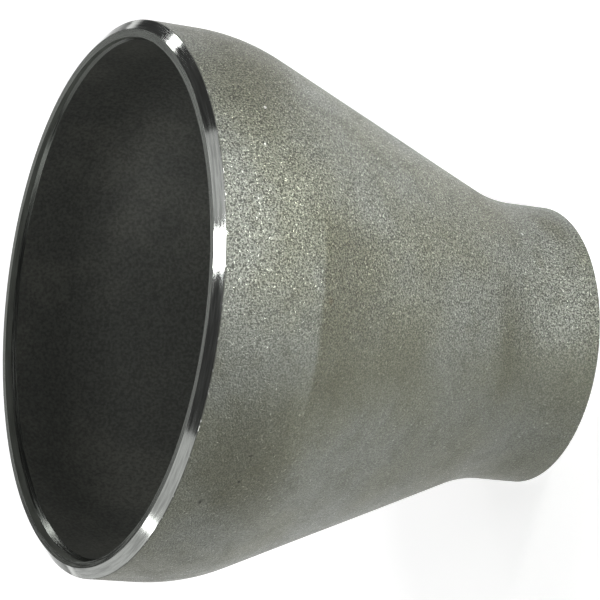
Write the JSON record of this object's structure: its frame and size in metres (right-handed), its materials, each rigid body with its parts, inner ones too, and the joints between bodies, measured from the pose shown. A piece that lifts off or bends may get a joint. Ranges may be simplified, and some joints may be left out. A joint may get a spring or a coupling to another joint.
{
  "type": "weld reducer",
  "caption": "Concentric butt-weld pipe reducer: one seamless steel shell whose S-shaped wall runs between two straight, bevelled ends.",
  "frame": {"origin": "centre of the small end face, which is the middle of the underside of the part as it stands", "axes": "+Z along the axis of the fitting, from the small end to the large end; X and Y are alike, because the part is turned about Z"},
  "size_m": [0.1142, 0.1142, 0.102],
  "materials": {
    "blasted_steel": "shot-blasted grey shell, bright turned weld bevels and bored mouths"
  },
  "bodies": {
    "root": {"reducer_body": "blasted_steel"}
  },
  "joints": []
}
